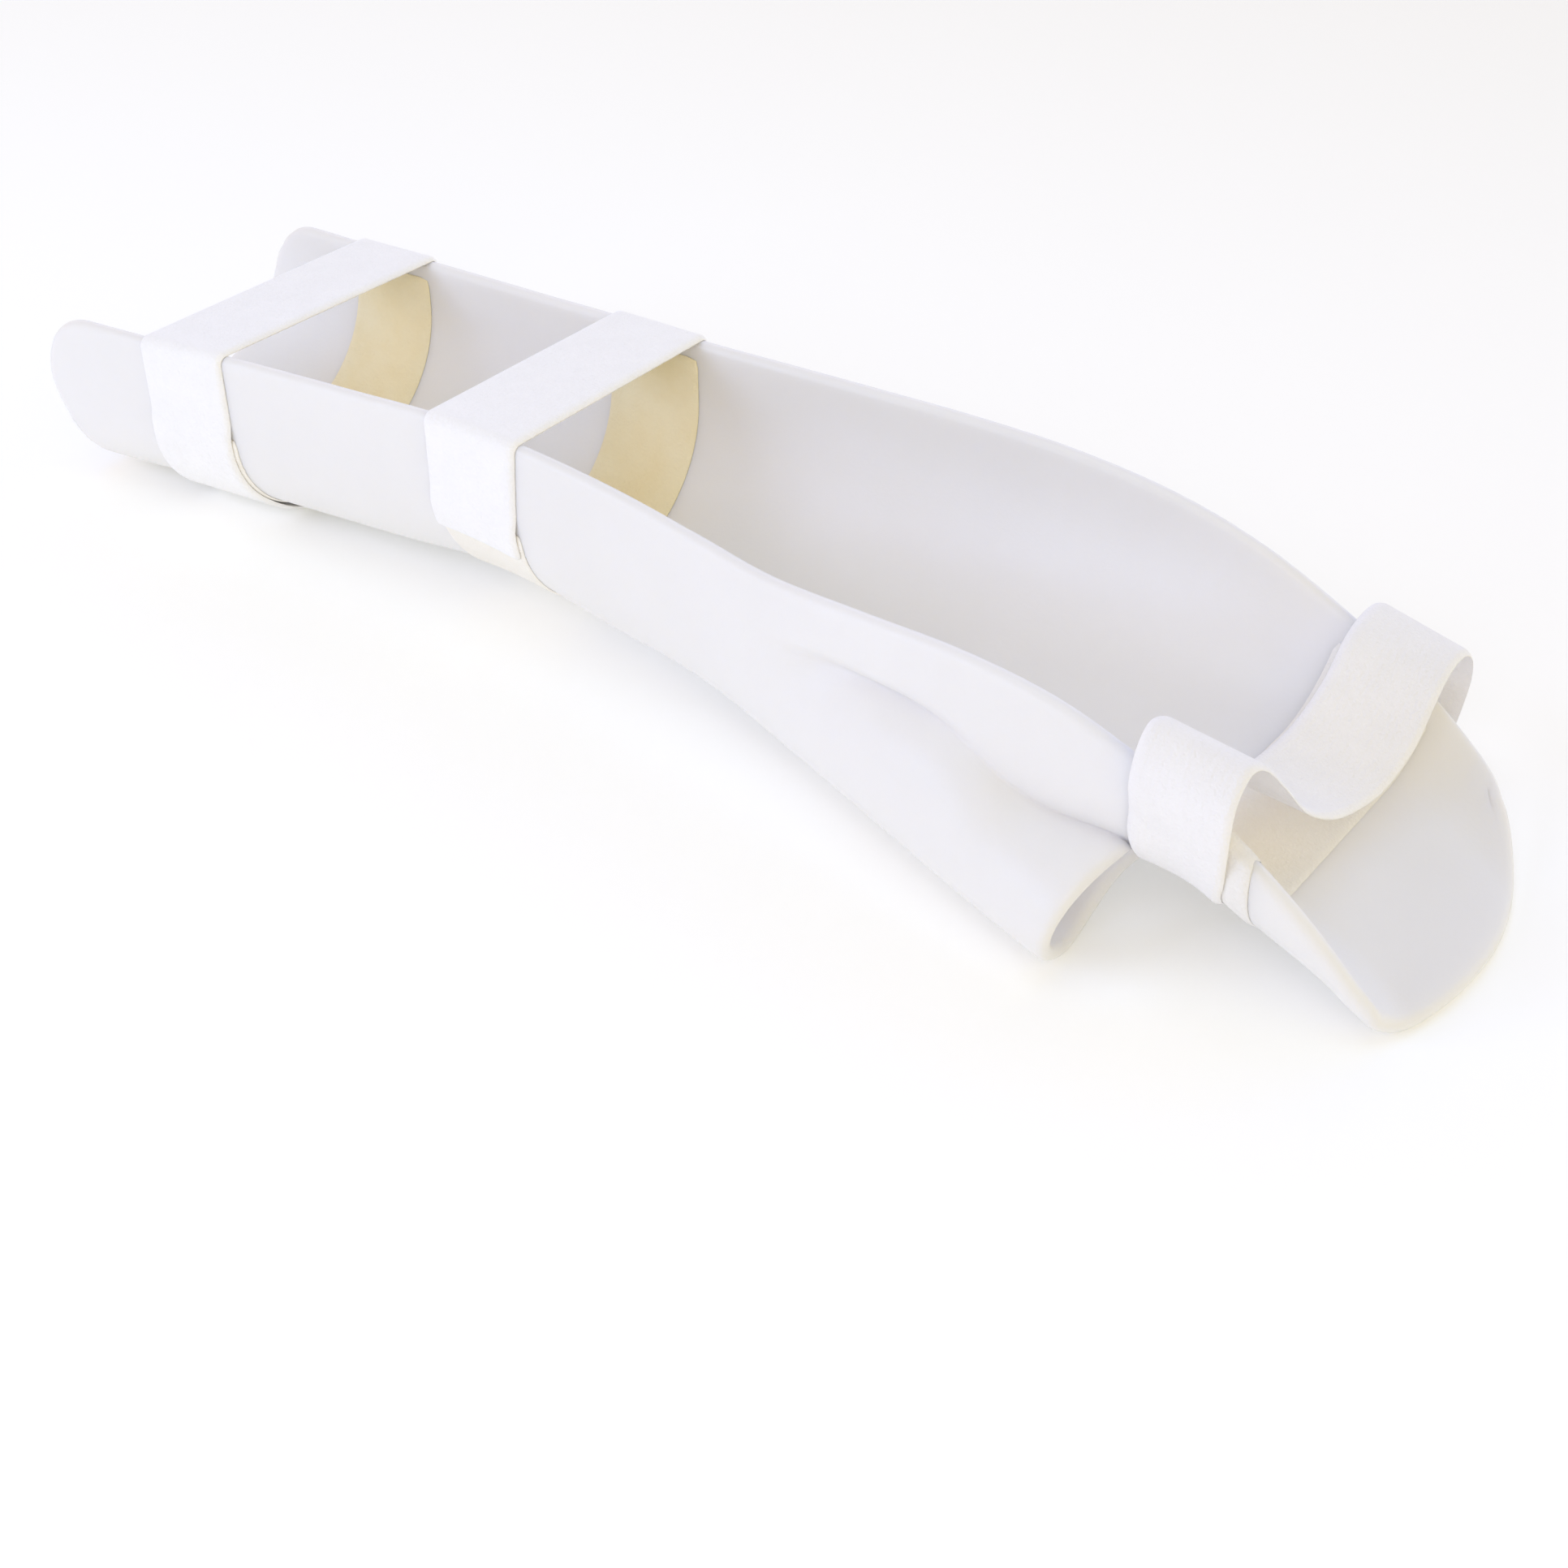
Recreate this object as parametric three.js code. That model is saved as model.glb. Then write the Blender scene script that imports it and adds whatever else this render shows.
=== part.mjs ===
import * as THREE from 'three';

// Wrist hand splint: a moulded sheet with a forearm trough, a hand pan and a thumb channel,
// three straps across it, and the hook strips and lining bands under the straps.
// Millimetres. X runs from the elbow end to the fingertips, Y from the near wall to the far wall, Z is up.
const SHEET = 3.2;
const STRAP = 1.5;
const STRIP = 1.0;
const GAP = 0.4;
const LINING_GAP = 0.6;
const PAN_CLEAR = 0.6;
const STRAP_WIDTH = 25.4;

// Cross-sections of the sheet's middle surface, one row each. Every section is a U: two walls with
// upper edges at (near_y, near_z) and (far_y, far_z), a floor at floor_z and two corner radii.
// The crease is the share of the U's length, from the near edge, at which the thumb channel starts.
// Towards the fingertips the walls lag behind the floor by near_lag and far_lag, which rounds the tip.
const NAMES = [
  'x', 'near_y', 'near_z', 'far_y', 'far_z', 'floor_z', 'near_r', 'far_r', 'crease', 'near_lag', 'far_lag'];
const SECTIONS = [
  [0, -33.5, 38.6, 33.0, 41.0, 4.9, 10, 34, 0.10, 0, 0],
  [35, -32.8, 41.4, 32.0, 42.4, 4.9, 16, 32, 0.10, 0, 0],
  [66, -31.2, 43.8, 31.0, 44.4, 4.9, 20.5, 31, 0.10, 0, 0],
  [98, -29.4, 45.6, 29.8, 46.2, 4.9, 25, 30, 0.10, 0, 0],
  [122, -28.3, 47.0, 28.5, 47.9, 6.2, 27, 29, 0.10, 0, 0],
  [145, -28.8, 47.4, 28.2, 48.7, 7.0, 25.5, 30, 0.09, 0, 0],
  [168, -29.2, 46.0, 29.2, 49.3, 7.6, 18, 34, 0.085, 0, 0],
  [190, -31.0, 44.4, 31.0, 49.4, 8.6, 16, 35, 0.08, 0, 0],
  [210, -33.6, 43.6, 33.4, 48.9, 10.4, 17, 33, 0.08, 0, 0],
  [232, -36.0, 45.4, 35.0, 48.0, 12.8, 17, 31, 0.085, 0, 0],
  [254, -37.3, 46.6, 36.2, 45.2, 15.0, 15, 29, 0.112, 0, 0],
  [273, -37.8, 45.0, 37.0, 40.0, 16.4, 15, 28, 0.19, 0, 0],
  [289, -37.9, 40.2, 37.8, 32.6, 16.4, 19, 27, 0.185, 0, 0],
  [300, -37.6, 35.2, 38.5, 26.0, 14.0, 22.5, 26, 0.185, 0, 0],
  [310, -37.1, 29.6, 38.8, 19.6, 10.6, 20, 26, 0.19, 0, 0],
  [320, -36.3, 22.0, 37.9, 12.8, 7.2, 18, 26, 0.20, 0.2, 0.4],
  [328, -35.4, 15.8, 36.4, 10.6, 5.0, 16, 28, 0.20, 2.0, 4.5],
  [335, -34.6, 10.8, 34.6, 9.3, 3.3, 13, 30, 0.20, 4.5, 9.0],
  [341.4, -33.2, 6.6, 32.2, 8.2, 1.9, 10, 32, 0.20, 7.4, 13.0],
];
const TIP_MIDDLE_Y = -4;
const TIP_OVAL = 0.9;
const LAST = SECTIONS.length - 1;
const NEAR_BOW = 0.06;
const NEAR_BOW_FROM = 110;
const NEAR_BOW_FULL = 180;
const END_CORNER = 15;
const END_SKEW = 4.5;
const END_SKEW_HEIGHT = 36;
const END_TRIM = 8;

// Thumb channel: the part of the U between the crease and the joint swells into an open tube
const FORK_ROW = 12;
const JOINT = 0.36;
const THUMB_FROM = 146;
const THUMB_FULL = 214;
const THUMB = { x: 226, run: 54, y: -24.0, y_run: -17.5, r: 15.0, r_run: -3.5, clear: 2.2, rise: 1.2 };
const THUMB_LEAN_FROM = 225;
const THUMB_LEAN_Y = 0.18;
const THUMB_LEAN_Z = 0.20;
const THUMB_BACK = 3.8;

// Straps: x of the proximal edge and, for the open one, the share of the U where its ends lie
const PROXIMAL_STRAP_X = 35;
const DISTAL_STRAP_X = 119;
const DISTAL_STRAP_ENDS = [0.19, 0.81];
const STRIP_ENDS = [0.16, 0.84];
const BAND_ENDS = [0.03, 0.97];
const PEEK = 0.8;
const PAN_BAND_X = 291.8;
const PAN_BAND_WIDTH = 20.5;
const PAN_BAND_ENDS = [0.26, 0.95];

// Finger strap: narrower, starts on the near wall and hangs in a bow outside the far wall.
// Centre line between the walls, one row for each bend; tip is the lift of the distal edge.
const FINGER_WIDTH = 19;
const FINGER_STRAP_X = 300;
const FINGER_STRAP_SKEW = 5;
const FINGER_LEAN = -0.16;
const FINGER_NEAR = [0.185, 0.145, 0.105, 0.06];
const SPAN_NAMES = ['y', 'z', 'tip'];
const SPAN = [
  [-43.0, 40.0, -0.2],
  [-41.2, 45.6, -0.8],
  [-37.0, 48.2, -1.2],
  [-31.6, 45.4, -1.0],
  [-25.8, 38.4, -0.3],
  [-19.0, 31.0, 0.0],
  [-10.0, 26.2, -0.3],
  [0.0, 24.0, -1.2],
  [9.0, 24.3, -2.0],
  [17.5, 27.8, -3.0],
  [25.0, 32.4, -3.0],
  [33.0, 33.8, -2.6],
  [41.0, 33.0, -2.2],
  [46.2, 29.2, -2.0],
  [47.8, 23.6, -1.5],
  [46.2, 18.0, -1.0],
  [43.6, 13.0, -0.5],
];

function ease(from, to, x) {
  const s = Math.min(Math.max((x - from) / (to - from), 0), 1);
  return s * s * (3 - 2 * s);
}

// Value of one table column at a fractional row, on a cubic through the rows
function smooth(rows, column, u) {
  const i = Math.min(Math.max(Math.floor(u), 0), rows.length - 2);
  const s = Math.min(Math.max(u - i, 0), 1);
  const value = (k) => rows[Math.min(Math.max(k, 0), rows.length - 1)][column];
  const slope = (k) => (value(k + 1) - value(k - 1)) / (k === 0 || k === rows.length - 1 ? 1 : 2);
  const a = (2 * s - 3) * s * s + 1;
  const b = ((s - 2) * s + 1) * s;
  const c = (3 - 2 * s) * s * s;
  const d = (s - 1) * s * s;
  return a * value(i) + b * slope(i) + c * value(i + 1) + d * slope(i + 1);
}

function section(u) {
  const row = {};
  NAMES.forEach((name, column) => {
    row[name] = smooth(SECTIONS, column, u);
  });
  return row;
}

// Fractional table row at a given x
function rowAt(x) {
  let low = 0;
  let high = LAST;
  for (let step = 0; step < 40; step += 1) {
    const mid = (low + high) / 2;
    if (smooth(SECTIONS, 0, mid) < x) {
      low = mid;
    } else {
      high = mid;
    }
  }
  return (low + high) / 2;
}

// Point (y, z) at a share of the U's length: wall, corner arc, floor, corner arc, wall
function onSection(row, share) {
  const back = Math.min(Math.max(END_CORNER - row.x, 0), END_CORNER);
  const drop = END_CORNER - Math.sqrt(END_CORNER ** 2 - back ** 2);
  const wall = (edge, r) => {
    const height = edge - drop - row.floor_z;
    const turn = Math.acos(Math.min(Math.max(1 - height / r, 0), 1));
    return { height, r, turn, straight: Math.max(height - r, 0) };
  };
  const near = wall(row.near_z, row.near_r);
  const far = wall(row.far_z, row.far_r);
  const nearFoot = row.near_y + near.r * Math.sin(near.turn);
  const farFoot = row.far_y - far.r * Math.sin(far.turn);
  const nearLength = near.straight + near.r * near.turn;
  const farLength = far.straight + far.r * far.turn;
  const total = nearLength + Math.max(farFoot - nearFoot, 0) + farLength;
  const along = share * total;
  const climb = (side, foot, sign, s) => {
    const bow = sign < 0 ? NEAR_BOW * ease(NEAR_BOW_FROM, NEAR_BOW_FULL, row.x) : 0;
    let y = foot + sign * side.r * Math.sin(side.turn);
    let z = row.floor_z + side.height - s;
    if (s > side.straight) {
      const angle = Math.max(side.turn - (s - side.straight) / side.r, 0);
      y = foot + sign * side.r * Math.sin(angle);
      z = row.floor_z + side.r * (1 - Math.cos(angle));
    }
    const level = Math.min(Math.max((z - row.floor_z) / Math.max(side.height, 1e-6), 0), 1);
    return [y + sign * bow * side.height * Math.sin(Math.PI * level), z];
  };
  if (along < nearLength) {
    return climb(near, nearFoot, -1, along);
  }
  if (total - along < farLength) {
    return climb(far, farFoot, 1, total - along);
  }
  return [nearFoot + along - nearLength, row.floor_z];
}

// Point (y, z) moved square to the section, outwards for positive distances
function offSection(row, share, distance) {
  const step = 0.004;
  const a = onSection(row, Math.max(share - step, 0));
  const b = onSection(row, Math.min(share + step, 1));
  const p = onSection(row, share);
  const length = Math.hypot(b[0] - a[0], b[1] - a[1]);
  return [p[0] + distance * (b[1] - a[1]) / length, p[1] - distance * (b[0] - a[0]) / length];
}

// Elbow end cut slightly askew: the top of the far wall and the near lower corner are set back
function endSkew(p) {
  const far = END_SKEW * (0.45 + 0.55 * p.y / 33) * Math.min(p.z / END_SKEW_HEIGHT, 1);
  const near = END_TRIM * (1 - ease(6, 24, p.z)) * (1 - ease(-30, -5, p.y));
  return (far + near) * (1 - ease(0, 40, p.x));
}

// How far a point of the section lies behind its floor near the fingertips: an oval outline in plan
function tipLag(row, y) {
  const near = y < TIP_MIDDLE_Y;
  const edge = near ? row.near_y : row.far_y;
  const t = Math.min(Math.abs((y - TIP_MIDDLE_Y) / (edge - TIP_MIDDLE_Y)), 1);
  const oval = (1 - Math.sqrt(1 - (TIP_OVAL * t) ** 2)) / (1 - Math.sqrt(1 - TIP_OVAL ** 2));
  return near ? row.near_lag * oval : row.far_lag * (oval + t * t) / 2;
}

function spread(from, to, count) {
  return Array.from({ length: count }, (_, k) => from + (to - from) * k / (count - 1));
}

// One row of sheet points: edge strip, thumb part, then floor and far wall
function sheetRow(u, counts, withThumb) {
  const row = section(u);
  const shares = [
    ...spread(0, row.crease, counts.strip).slice(0, -1),
    ...spread(row.crease, JOINT, counts.thumb),
    ...spread(JOINT, 1, counts.rest).slice(1),
  ];
  const points = shares.map((share) => {
    const [y, z] = onSection(row, share);
    return new THREE.Vector3(row.x - tipLag(row, y), y, z);
  });
  if (withThumb) {
    swell(points, row.x, counts);
  }
  points.forEach((p) => {
    p.x += endSkew(p);
  });
  return points;
}

// Moves the thumb part of a row towards a round tube that runs out to the near side
function swell(points, x, counts) {
  const first = points[counts.strip - 1].clone();
  const last = points[counts.strip + counts.thumb - 2].clone();
  const k = (x - THUMB.x) / THUMB.run;
  const r = THUMB.r + THUMB.r_run * k;
  const cy = THUMB.y + THUMB.y_run * k;
  const cz = r + THUMB.clear + THUMB.rise * (1 - k);
  const open = ease(200, 262, x);
  const from = THREE.MathUtils.degToRad(8 + 78 * open);
  const to = THREE.MathUtils.degToRad(-100 - 112 * open);
  const round = (s) => {
    const angle = from + (to - from) * s;
    const width = Math.cos(angle) < 0 ? 1 - 0.4 * open : 1;
    return [cy - r * width * Math.cos(angle), cz + r * Math.sin(angle)];
  };
  const start = round(0);
  const end = round(1);
  const share = ease(THUMB_FROM, THUMB_FULL, x);
  const lean = ease(THUMB_LEAN_FROM, SECTIONS[FORK_ROW][0], x);
  for (let column = 0; column < counts.thumb; column += 1) {
    const s = column / (counts.thumb - 1);
    const p = points[counts.strip - 1 + column];
    const [ry, rz] = round(s);
    const y = ry + (first.y - start[0]) * (1 - s) ** 5 + (last.y - end[0]) * s ** 5;
    const z = rz + (first.z - start[1]) * (1 - s) ** 5 + (last.z - end[1]) * s ** 5;
    p.y += (y - p.y) * share;
    p.z += (z - p.z) * share;
    const drop = THUMB_LEAN_Y * Math.max(first.y - p.y, 0) + THUMB_LEAN_Z * Math.max(first.z - p.z, 0);
    p.x -= lean * (drop + THUMB_BACK * ease(0.45, 0.8, s)) * Math.min(8 * (1 - s), 1);
  }
}

// Quads between neighbouring rows of point numbers
function between(rows) {
  const quads = [];
  for (let i = 0; i + 1 < rows.length; i += 1) {
    for (let k = 0; k + 1 < rows[i].length; k += 1) {
      quads.push([rows[i][k], rows[i + 1][k], rows[i + 1][k + 1], rows[i][k + 1]]);
    }
  }
  return quads;
}

function gather(points, rowPoints) {
  return rowPoints.map((p) => points.push(p) - 1);
}

// A closed solid of even thickness around a sheet of quads, with a blunt rim along its free edges
function thicken(points, quads, thickness) {
  const half = thickness / 2;
  const edges = new Map();
  const normals = points.map(() => new THREE.Vector3());
  const outs = new Map();
  quads.forEach((quad) => {
    const across = points[quad[2]].clone().sub(points[quad[0]]);
    const normal = across.cross(points[quad[3]].clone().sub(points[quad[1]]));
    quad.forEach((i, k) => {
      normals[i].add(normal);
      edges.set(`${i} ${quad[(k + 1) % 4]}`, [i, quad[(k + 1) % 4], normal]);
    });
  });
  normals.forEach((n) => n.normalize());
  const rim = [...edges.values()].filter(([a, b]) => !edges.has(`${b} ${a}`));
  rim.forEach(([a, b, normal]) => {
    const out = points[b].clone().sub(points[a]).cross(normal).normalize();
    [a, b].forEach((i) => outs.set(i, (outs.get(i) || new THREE.Vector3()).add(out)));
  });
  const used = [...new Set(quads.flat())];
  const positions = [];
  const put = (p) => positions.push(p.x, p.y, p.z) / 3 - 1;
  const upper = new Map(used.map((i) => [i, put(points[i].clone().addScaledVector(normals[i], half))]));
  const lower = new Map(used.map((i) => [i, put(points[i].clone().addScaledVector(normals[i], -half))]));
  const brim = new Map([...outs].map(([i, out]) => [
    i, put(points[i].clone().addScaledVector(out.normalize(), half))]));
  const index = [];
  const face = (a, b, c, d) => index.push(a, b, c, a, c, d);
  quads.forEach(([a, b, c, d]) => {
    face(upper.get(a), upper.get(b), upper.get(c), upper.get(d));
    face(lower.get(d), lower.get(c), lower.get(b), lower.get(a));
  });
  rim.forEach(([a, b]) => {
    face(upper.get(b), upper.get(a), brim.get(a), brim.get(b));
    face(brim.get(b), brim.get(a), lower.get(a), lower.get(b));
  });
  const geometry = new THREE.BufferGeometry();
  geometry.setAttribute('position', new THREE.Float32BufferAttribute(positions, 3));
  geometry.setIndex(index);
  return geometry;
}

function shell() {
  const counts = { strip: 4, thumb: 12, rest: 13 };
  const points = [];
  const trough = [0, 0.06, 0.14, 0.24, 0.36, ...spread(0.6, FORK_ROW, 37)];
  const rows = trough.map((u) => gather(points, sheetRow(u, counts, true)));
  const pan = spread(FORK_ROW, LAST, 17);
  const panRows = pan.map((u) => gather(points, sheetRow(u, counts, false)));
  const lastRow = rows[rows.length - 1];
  panRows[0] = panRows[0].map((i, column) => {
    const inThumb = column > counts.strip - 1 && column < counts.strip + counts.thumb - 2;
    return inThumb ? i : lastRow[column];
  });
  return thicken(points, [...between(rows), ...between(panRows)], SHEET);
}

// A strip of material given by a function that returns the path at one station across the width
function ribbon(stations, path, thickness, closed = false) {
  const points = [];
  const rows = stations.map((x) => gather(points, path(x)));
  const loop = rows.map((row) => (closed ? [...row, row[0]] : row));
  return thicken(points, between(loop), thickness);
}

// Path that follows the outside or inside of the sheet; lean carries it distally on its way down
function along(x, shares, distance, lean = 0) {
  const base = section(rowAt(x));
  return shares.map((share) => {
    const edge = share < 0.5 ? base.near_z : base.far_z;
    const at = x + lean * (edge - onSection(base, share)[1]);
    const [y, z] = offSection(section(rowAt(at)), share, distance(share));
    return new THREE.Vector3(at, y, z);
  });
}

const ON_STRIP = SHEET / 2 + GAP + STRIP + GAP + STRAP / 2;
const ON_SHEET = SHEET / 2 + GAP + STRAP / 2;
const STRIP_OUT = SHEET / 2 + GAP + STRIP / 2;
const LINING_IN = SHEET / 2 + LINING_GAP + STRIP / 2;

// Straps lie on the sheet above the hook strip and step out over it lower down
function strapDistance(share) {
  const over = ease(STRIP_ENDS[0] - 0.045, STRIP_ENDS[0] - 0.01, share);
  const back = ease(1 - STRIP_ENDS[1] - 0.045, 1 - STRIP_ENDS[1] - 0.01, 1 - share);
  return ON_SHEET + (ON_STRIP - ON_SHEET) * Math.min(over, back);
}

// Quarter turn over the rim of a wall, then the flat span to the other wall
function overTop(x) {
  const row = section(rowAt(x));
  const turn = (y, z, from, to) => spread(from, to, 4).map((degrees) => {
    const angle = THREE.MathUtils.degToRad(degrees);
    return new THREE.Vector3(x, y + ON_SHEET * Math.cos(angle), z + ON_SHEET * Math.sin(angle));
  });
  const far = turn(row.far_y, row.far_z, 15, 90);
  const near = turn(row.near_y, row.near_z, 90, 165);
  const span = spread(0, 1, 6).slice(1, -1).map((s) => far[3].clone().lerp(near[0], s));
  return [...far, ...span, ...near];
}

function proximalStrap() {
  const stations = spread(PROXIMAL_STRAP_X, PROXIMAL_STRAP_X + STRAP_WIDTH, 3);
  const shares = spread(0, 1, 41);
  return ribbon(stations, (x) => [...along(x, shares, strapDistance), ...overTop(x)], STRAP, true);
}

function distalStrap() {
  const stations = spread(DISTAL_STRAP_X, DISTAL_STRAP_X + STRAP_WIDTH, 3);
  const far = spread(DISTAL_STRAP_ENDS[1], 1, 8);
  const near = spread(0, DISTAL_STRAP_ENDS[0], 8);
  return ribbon(stations, (x) => [
    ...along(x, far, strapDistance), ...overTop(x), ...along(x, near, strapDistance)], STRAP);
}

function hookStrip(x, width) {
  const shares = spread(STRIP_ENDS[0], STRIP_ENDS[1], 27);
  return ribbon(spread(x, x + width, 3), (at) => along(at, shares, () => STRIP_OUT), STRIP);
}

function liningBand(x, width, ends) {
  const shares = spread(ends[0], ends[1], 35);
  return ribbon(spread(x, x + width, 3), (at) => along(at, shares, () => -LINING_IN), STRIP);
}

// Points on a smooth curve through the given ones
function through(points, pieces) {
  const rows = points.map((p) => p.toArray());
  return spread(0, rows.length - 1, (rows.length - 1) * pieces + 1).map((u) => (
    new THREE.Vector3(smooth(rows, 0, u), smooth(rows, 1, u), smooth(rows, 2, u))));
}

function fingerStrap() {
  const half = FINGER_WIDTH / 2;
  const path = (w) => {
    const lean = FINGER_LEAN * (w + half) / FINGER_WIDTH;
    const near = along(FINGER_STRAP_X + w, FINGER_NEAR, () => ON_STRIP + PAN_CLEAR, lean);
    const span = SPAN.map((row, k) => new THREE.Vector3(
      FINGER_STRAP_X + FINGER_STRAP_SKEW * ease(2, 11, k) + w,
      row[SPAN_NAMES.indexOf('y')],
      row[SPAN_NAMES.indexOf('z')] + row[SPAN_NAMES.indexOf('tip')] * w / half,
    ));
    return through([...near, ...span], 2);
  };
  return ribbon(spread(-half, half, 3), path, STRAP);
}

// Lining of the finger strap: up the outside of the near wall, over its rim, then inside to the far wall
function fingerBand() {
  const outside = spread(PAN_BAND_ENDS[0], 0, 8);
  const inside = spread(0, PAN_BAND_ENDS[1], 33);
  const radius = SHEET / 2 + GAP + STRIP / 2 + PAN_CLEAR;
  const path = (x) => {
    const row = section(rowAt(x));
    const rim = [120, 90, 60].map((degrees) => {
      const angle = THREE.MathUtils.degToRad(degrees);
      return new THREE.Vector3(x, row.near_y + radius * Math.cos(angle), row.near_z + radius * Math.sin(angle));
    });
    return [
      ...along(x, outside, () => STRIP_OUT + PAN_CLEAR / 2, 0), ...rim,
      ...along(x, inside, () => -LINING_IN - PAN_CLEAR / 3, 0)];
  };
  return ribbon(spread(PAN_BAND_X, PAN_BAND_X + PAN_BAND_WIDTH, 4), path, STRIP);
}

function named(name, geometry, colour, roughness) {
  const material = new THREE.MeshStandardMaterial({ color: colour, roughness });
  const mesh = new THREE.Mesh(geometry, material);
  mesh.name = name;
  return mesh;
}

const WHITE_SHEET = 0xeceaf0;
const WHITE_STRAP = 0xf6f5f8;
const CREAM = 0xe8dcba;
const splint = new THREE.Group();
splint.name = 'wrist_hand_splint';
splint.add(
  named('splint_shell', shell(), WHITE_SHEET, 0.5),
  named('forearm_strap_proximal', proximalStrap(), WHITE_STRAP, 0.9),
  named('forearm_strap_distal', distalStrap(), WHITE_STRAP, 0.9),
  named('finger_strap', fingerStrap(), WHITE_STRAP, 0.9),
  named('hook_strip_proximal', hookStrip(PROXIMAL_STRAP_X + PEEK, STRAP_WIDTH), CREAM, 0.95),
  named('hook_strip_distal', hookStrip(DISTAL_STRAP_X + PEEK, STRAP_WIDTH), CREAM, 0.95),
  named('lining_band_proximal', liningBand(PROXIMAL_STRAP_X, STRAP_WIDTH, BAND_ENDS), CREAM, 0.95),
  named('lining_band_distal', liningBand(DISTAL_STRAP_X, STRAP_WIDTH, BAND_ENDS), CREAM, 0.95),
  named('lining_band_finger', fingerBand(), CREAM, 0.95),
);

// Origin under the middle of the splint, on the table
const bounds = new THREE.Box3().setFromObject(splint);
const middle = bounds.getCenter(new THREE.Vector3());
splint.position.set(-middle.x, -middle.y, -bounds.min.z);

export default splint;
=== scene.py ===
import bpy
import numpy as np
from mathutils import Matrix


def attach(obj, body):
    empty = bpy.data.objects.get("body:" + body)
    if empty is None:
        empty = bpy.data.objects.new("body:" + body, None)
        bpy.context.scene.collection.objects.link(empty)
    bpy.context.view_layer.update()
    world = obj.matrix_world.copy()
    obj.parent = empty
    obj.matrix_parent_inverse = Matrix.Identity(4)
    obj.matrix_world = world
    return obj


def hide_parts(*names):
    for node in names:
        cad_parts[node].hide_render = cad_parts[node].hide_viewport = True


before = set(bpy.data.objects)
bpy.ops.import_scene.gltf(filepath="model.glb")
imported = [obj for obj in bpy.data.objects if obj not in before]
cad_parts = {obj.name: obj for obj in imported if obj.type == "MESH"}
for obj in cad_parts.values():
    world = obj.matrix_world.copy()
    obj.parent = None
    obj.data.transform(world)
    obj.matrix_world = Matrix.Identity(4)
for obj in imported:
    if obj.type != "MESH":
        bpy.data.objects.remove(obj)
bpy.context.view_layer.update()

# Splint shell
# One sheet of white thermoplastic, softened and moulded by hand into a forearm trough, a hand pan and a
# thumb channel. Its edges are cut with scissors while warm and smoothed, so every rim is round.
SHEET = 3.2
# Sections through the middle of the sheet, in millimetres: x runs from the elbow end to the fingertips,
# y from the thumb side to the far side, z up. Each row gives the edges of both walls, the floor, the radii
# of the lower corners, the thumb crease as a share of the section, and how far the edges stay back at the tip.
SECTION_COLUMNS = ["x", "near_y", "near_z", "far_y", "far_z", "floor_z", "near_r", "far_r", "crease",
                   "near_lag", "far_lag"]
SECTIONS = np.array([
    [0, -33.5, 38.6, 33.0, 41.0, 4.9, 10, 34, 0.10, 0, 0],
    [35, -32.8, 41.4, 32.0, 42.4, 4.9, 16, 32, 0.10, 0, 0],
    [66, -31.2, 43.8, 31.0, 44.4, 4.9, 20.5, 31, 0.10, 0, 0],
    [98, -29.4, 45.6, 29.8, 46.2, 4.9, 25, 30, 0.10, 0, 0],
    [122, -28.3, 47.0, 28.5, 47.9, 6.2, 27, 29, 0.10, 0, 0],
    [145, -28.8, 47.4, 28.2, 48.7, 7.0, 25.5, 30, 0.09, 0, 0],
    [168, -29.2, 46.0, 29.2, 49.3, 7.6, 18, 34, 0.085, 0, 0],
    [190, -31.0, 44.4, 31.0, 49.4, 8.6, 16, 35, 0.08, 0, 0],
    [210, -33.6, 43.6, 33.4, 48.9, 10.4, 17, 33, 0.08, 0, 0],
    [232, -36.0, 45.4, 35.0, 48.0, 12.8, 17, 31, 0.085, 0, 0],
    [254, -37.3, 46.6, 36.2, 45.2, 15.0, 15, 29, 0.112, 0, 0],
    [273, -37.8, 45.0, 37.0, 40.0, 16.4, 15, 28, 0.19, 0, 0],
    [289, -37.9, 40.2, 37.8, 32.6, 16.4, 19, 27, 0.185, 0, 0],
    [300, -37.6, 35.2, 38.5, 26.0, 14.0, 22.5, 26, 0.185, 0, 0],
    [310, -37.1, 29.6, 38.8, 19.6, 10.6, 20, 26, 0.19, 0, 0],
    [320, -36.3, 22.0, 37.9, 12.8, 7.2, 18, 26, 0.20, 0.2, 0.4],
    [328, -35.4, 15.8, 36.4, 10.6, 5.0, 16, 28, 0.20, 2.0, 4.5],
    [335, -34.6, 10.8, 34.6, 9.3, 3.3, 13, 30, 0.20, 4.5, 9.0],
    [341.4, -33.2, 6.6, 32.2, 8.2, 1.9, 10, 32, 0.20, 7.4, 13.0],
])
FORK_X, TIP_X = 289.0, 341.4
TIP_MIDDLE_Y, TIP_OVAL = -4.0, 0.9
NEAR_BOW, NEAR_BOW_FROM, NEAR_BOW_FULL = 0.06, 110.0, 180.0
END_CORNER = 15.0
# The elbow end is cut askew: the far wall's top and the near lower corner are set back, fading out along x
END_SKEW, END_SKEW_HEIGHT, END_TRIM = 4.5, 36.0, 8.0
END_SKEW_MIDDLE, END_SKEW_SIDE, END_HALF_WIDTH = 0.45, 0.55, 33
END_TRIM_Z, END_TRIM_Y = (6, 24), (-30, -5)
END_REACH = (0, 40)
JOINT = 0.36
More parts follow.
